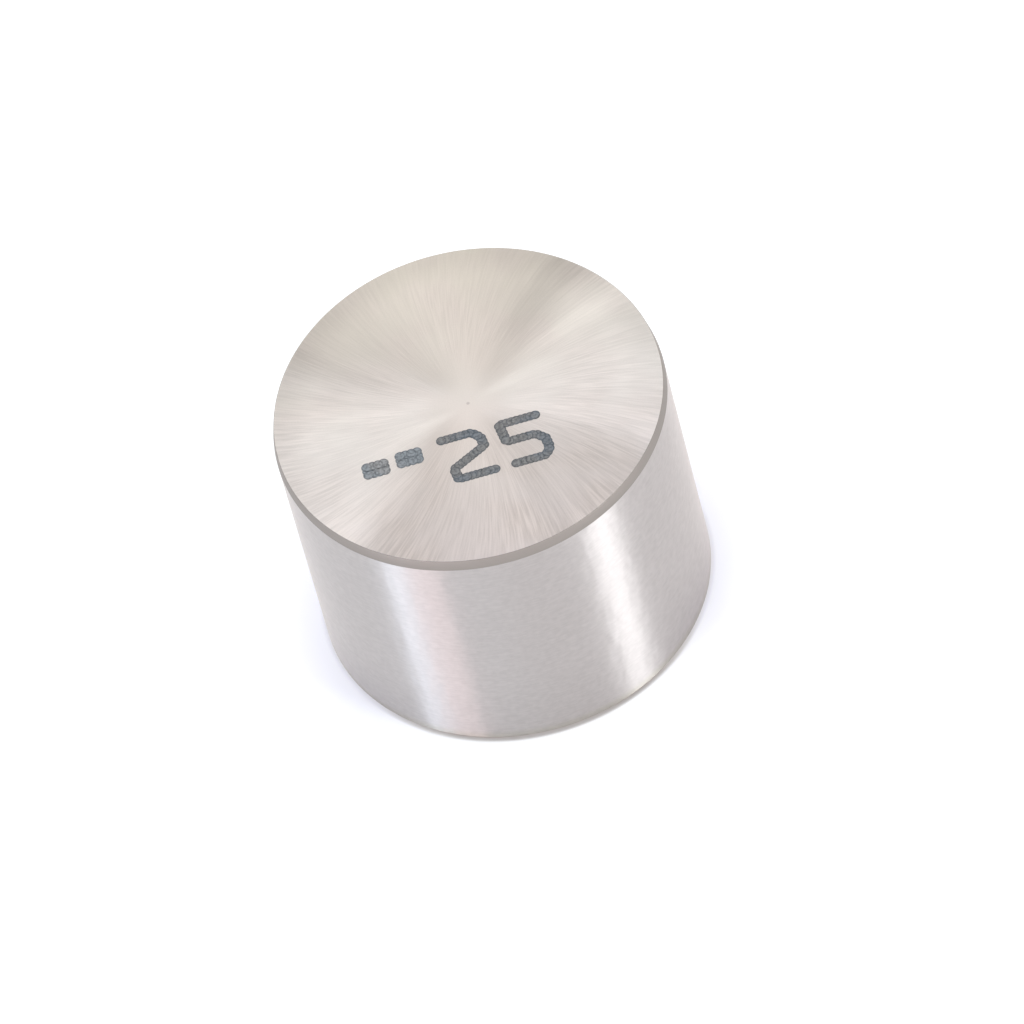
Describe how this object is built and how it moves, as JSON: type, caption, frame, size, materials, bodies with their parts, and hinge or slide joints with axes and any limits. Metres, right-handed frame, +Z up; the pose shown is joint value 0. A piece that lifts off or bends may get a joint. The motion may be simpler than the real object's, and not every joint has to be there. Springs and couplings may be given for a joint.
{
  "type": "bucket tappet",
  "caption": "Solid bucket tappet of ground steel: a closed round crown for the cam, a plain sliding skirt, an open rim, and a raised pad inside for the valve stem tip.",
  "frame": {"origin": "centre of the open rim's plane, on the axis, at the height of the surface that the tappet stands on", "axes": "+Z up the axis from the open rim to the closed crown; +X along the line of the size mark on the crown; +Y completes the right-handed frame"},
  "size_m": [0.031, 0.031, 0.0229],
  "materials": {
    "ground_steel": "ground crown whose fine lay runs out from the centre, skirt finely ground around its axis, plain turned inside"
  },
  "bodies": {
    "root": {"bucket": "ground_steel"}
  },
  "joints": []
}
